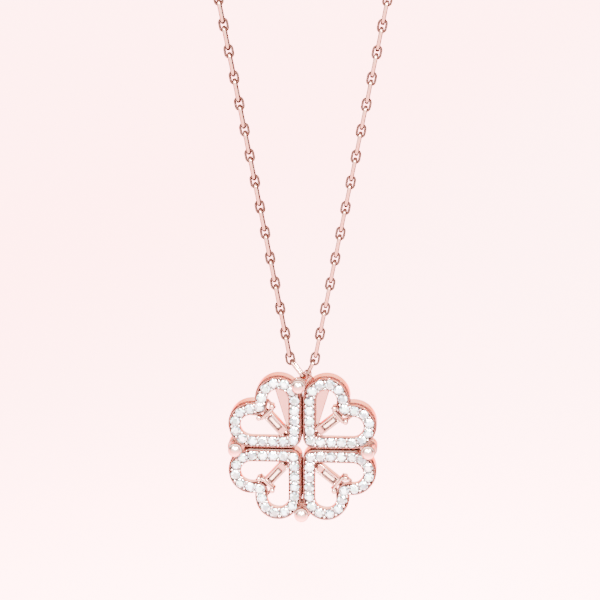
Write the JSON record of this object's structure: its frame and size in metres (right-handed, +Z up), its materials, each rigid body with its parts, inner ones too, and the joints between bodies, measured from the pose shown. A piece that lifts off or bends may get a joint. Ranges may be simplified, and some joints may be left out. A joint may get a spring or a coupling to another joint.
{
  "type": "pendant necklace",
  "caption": "Four leaf clover pendant of hinged heart frames set with round and baguette stones, hanging on a fine cable chain held up at the nape.",
  "frame": {"origin": "top of the chain loop at the middle of the clasp, where it rests at the nape", "axes": "+Z up, -Y out of the front of the pendant, +X to the right seen from the front"},
  "size_m": [0.068, 0.0041, 0.2227],
  "materials": {
    "rose_gold": "polished rose gold",
    "chain_metal": "polished rose gold wire",
    "round_stones": "clear cut stones",
    "baguettes": "clear step cut stones"
  },
  "bodies": {
    "chain": {"chain_front_left": "chain_metal", "chain_front_right": "chain_metal", "chain_back_left": "chain_metal", "chain_back_right": "chain_metal", "clasp": "chain_metal"},
    "pendant": {"heart_frame_ul": "rose_gold", "heart_frame_ll": "rose_gold", "heart_frame_lr": "rose_gold", "heart_frame_ur": "rose_gold", "pave_ul": "round_stones", "pave_ll": "round_stones", "pave_lr": "round_stones", "pave_ur": "round_stones", "baguette_ul": "baguettes", "baguette_ll": "baguettes", "baguette_lr": "baguettes", "baguette_ur": "baguettes", "rivet_left": "rose_gold", "rivet_bottom": "rose_gold", "rivet_right": "rose_gold", "top_ball": "rose_gold", "end_link_left": "rose_gold", "end_link_right": "rose_gold", "first_link_left": "chain_metal", "first_link_right": "chain_metal"}
  },
  "joints": [
    {"name": "pendant_swing", "type": "hinge", "parent": "chain", "child": "pendant", "pos_m": [0, 0, -0.20158], "axis": [1, 0, 0], "range_deg": [-60, 60]}
  ]
}
